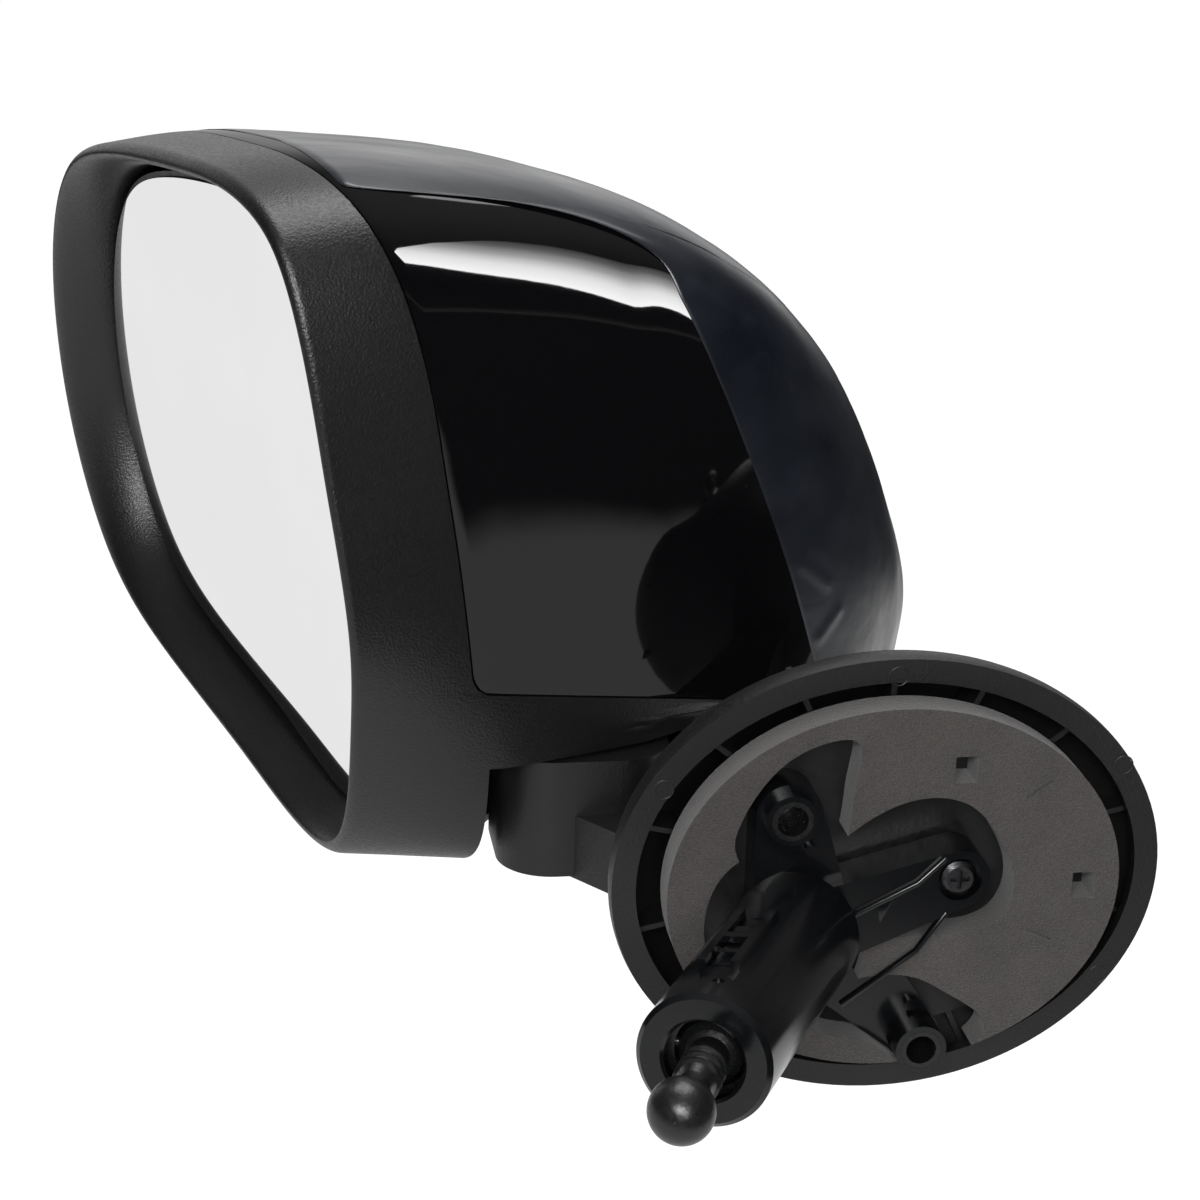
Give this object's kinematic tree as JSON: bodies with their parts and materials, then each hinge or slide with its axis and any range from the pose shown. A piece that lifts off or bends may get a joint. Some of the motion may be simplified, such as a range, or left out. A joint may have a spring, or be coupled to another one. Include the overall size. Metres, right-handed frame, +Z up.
{
  "type": "car side mirror",
  "caption": "Cable-adjusted car side mirror: folding head with a tilting glass on an oval door foot with a gasket and a hand lever in a sleeve.",
  "frame": {"origin": "centre of the foot's oval, on the plane where its lip meets the door", "axes": "+X into the car along the two fixing holes, +Y forwards along the car, +Z up"},
  "size_m": [0.3489, 0.2434, 0.1907],
  "materials": {
    "black_textured": "textured",
    "black_gloss": "gloss",
    "black_satin": "satin",
    "grey_satin": "satin",
    "white_nylon": "satin",
    "foam": "open-cell foam",
    "steel": "zinc plated",
    "die_cast": "as cast",
    "mirror": "polished",
    "cable_black": "extruded"
  },
  "bodies": {
    "foot": {"foot_cover": "black_textured", "foot_base": "black_satin", "foam_gasket": "foam", "lever_bracket": "black_gloss", "boss_inserts": "steel", "bracket_screw": "steel", "cover_screws": "steel", "sleeve_collar": "black_gloss", "sleeve_latch": "black_gloss", "fold_shaft": "steel", "detent_washer": "steel", "spring_washer": "steel", "fold_spring": "steel", "spring_cup": "steel", "shaft_nut": "steel", "cable_sheath": "cable_black"},
    "head": {"bezel": "black_textured", "cap": "black_gloss", "head_carrier": "black_satin", "carrier_screws": "steel", "pivot_post": "black_satin", "yaw_pins": "steel", "glass_cables": "cable_black", "cable_guide": "white_nylon"},
    "gimbal": {"gimbal_ring": "white_nylon", "pitch_pins": "steel"},
    "glass": {"glass_holder": "black_satin", "mirror_glass": "mirror", "cable_nipples": "steel"},
    "lever_ring": {"swivel_ring": "white_nylon"},
    "lever": {"lever": "black_satin", "lever_knob": "grey_satin", "cable_anchor": "white_nylon"}
  },
  "joints": [
    {"name": "head_fold", "type": "hinge", "parent": "foot", "child": "head", "pos_m": [-0.082, -0.0555, 0.012], "axis": [0, 0, 1], "range_deg": [-35, 50]},
    {"name": "glass_yaw", "type": "hinge", "parent": "head", "child": "gimbal", "pos_m": [-0.14221, -0.1268, 0.06013], "axis": [0.0476, -0.1308, 0.9903], "range_deg": [-6, 6]},
    {"name": "glass_pitch", "type": "hinge", "parent": "gimbal", "child": "glass", "pos_m": [-0.14221, -0.1268, 0.06013], "axis": [-0.9397, -0.342, 0], "range_deg": [-6, 6]},
    {"name": "lever_yaw", "type": "hinge", "parent": "foot", "child": "lever_ring", "pos_m": [0.06337, -0.05002, -0.0029], "axis": [-0.0587, 0.0308, 0.9978], "range_deg": [-9, 9]},
    {"name": "lever_pitch", "type": "hinge", "parent": "lever_ring", "child": "lever", "pos_m": [0.06337, -0.05002, -0.0029], "axis": [-0.3635, -0.9316, 0.0074], "range_deg": [-9, 9]}
  ],
  "couplings": [
    {"joint": "lever_yaw", "follows": "glass_yaw", "ratio": 1.5},
    {"joint": "lever_pitch", "follows": "glass_pitch", "ratio": 1.5}
  ]
}
